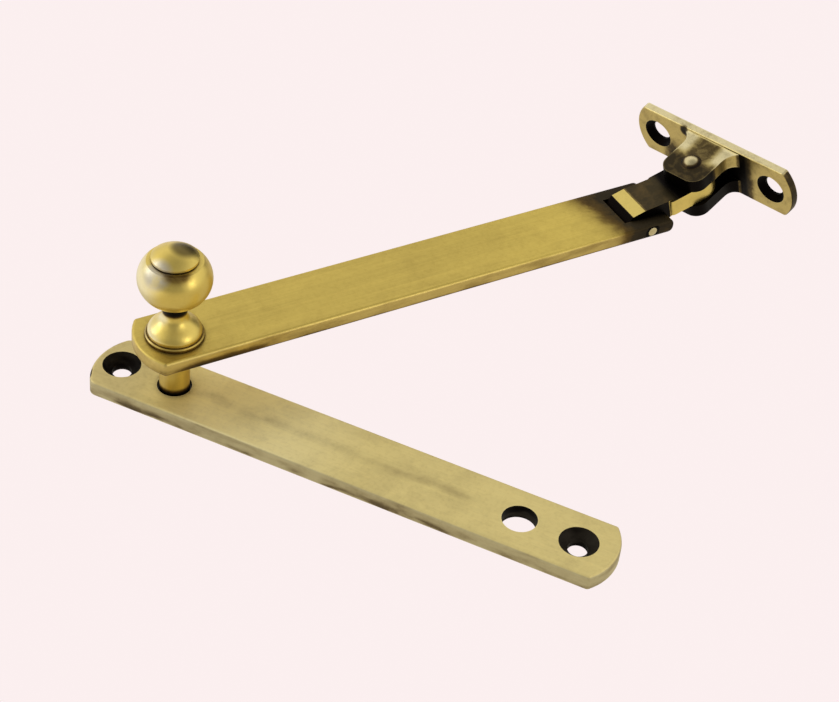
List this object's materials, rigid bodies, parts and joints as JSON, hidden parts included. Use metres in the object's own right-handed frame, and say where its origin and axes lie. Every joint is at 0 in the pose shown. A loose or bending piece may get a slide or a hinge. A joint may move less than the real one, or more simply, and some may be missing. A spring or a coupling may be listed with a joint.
{
  "type": "casement window stay",
  "caption": "Flat-bar window stay: swinging arm with ball knob and drop-in peg on a slotted frame plate, forked knuckle and jawed sash bracket.",
  "frame": {"origin": "midway between the frame plate's two screw holes, on the plate's underside, which lies on the window frame", "axes": "+X along the frame plate from the occupied peg hole to the free one, +Z out of the window frame, along the peg and knob, +Y towards the side that the arm swings over"},
  "size_m": [0.1385, 0.1528, 0.0458],
  "materials": {
    "brass_plate": "satin antique",
    "brass_arm": "brushed antique",
    "brass_turned": "polished antique",
    "brass_knuckle": "dark antique",
    "brass_bracket": "cast antique",
    "brass_pin": "polished antique"
  },
  "bodies": {
    "frame": {"frame_plate": "brass_plate"},
    "peg_and_knob": {"peg": "brass_turned", "knob_washer": "brass_turned", "ball_knob": "brass_turned"},
    "arm": {"stay_arm": "brass_arm", "tilt_pin": "brass_pin"},
    "link": {"knuckle_link": "brass_knuckle"},
    "bracket": {"sash_bracket": "brass_bracket", "swivel_rivet": "brass_pin"}
  },
  "joints": [
    {"name": "peg_lift", "type": "slide", "parent": "frame", "child": "peg_and_knob", "axis": [0, 0, 1], "range_m": [0, 0.008]},
    {"name": "arm_swing", "type": "hinge", "parent": "peg_and_knob", "child": "arm", "pos_m": [-0.0462, 0, 0.0162], "axis": [0, 0, 1], "range_deg": [-54, 126]},
    {"name": "knuckle_tilt", "type": "hinge", "parent": "arm", "child": "link", "pos_m": [0.0318, 0.10736, 0.0181], "axis": [0.809, -0.5878, 0], "range_deg": [-61.5, 43.5]},
    {"name": "bracket_swivel", "type": "hinge", "parent": "link", "child": "bracket", "pos_m": [0.04256, 0.12217, 0.02353], "axis": [-0.1669, -0.2298, 0.9588], "range_deg": [-86.8, 53.2]}
  ]
}
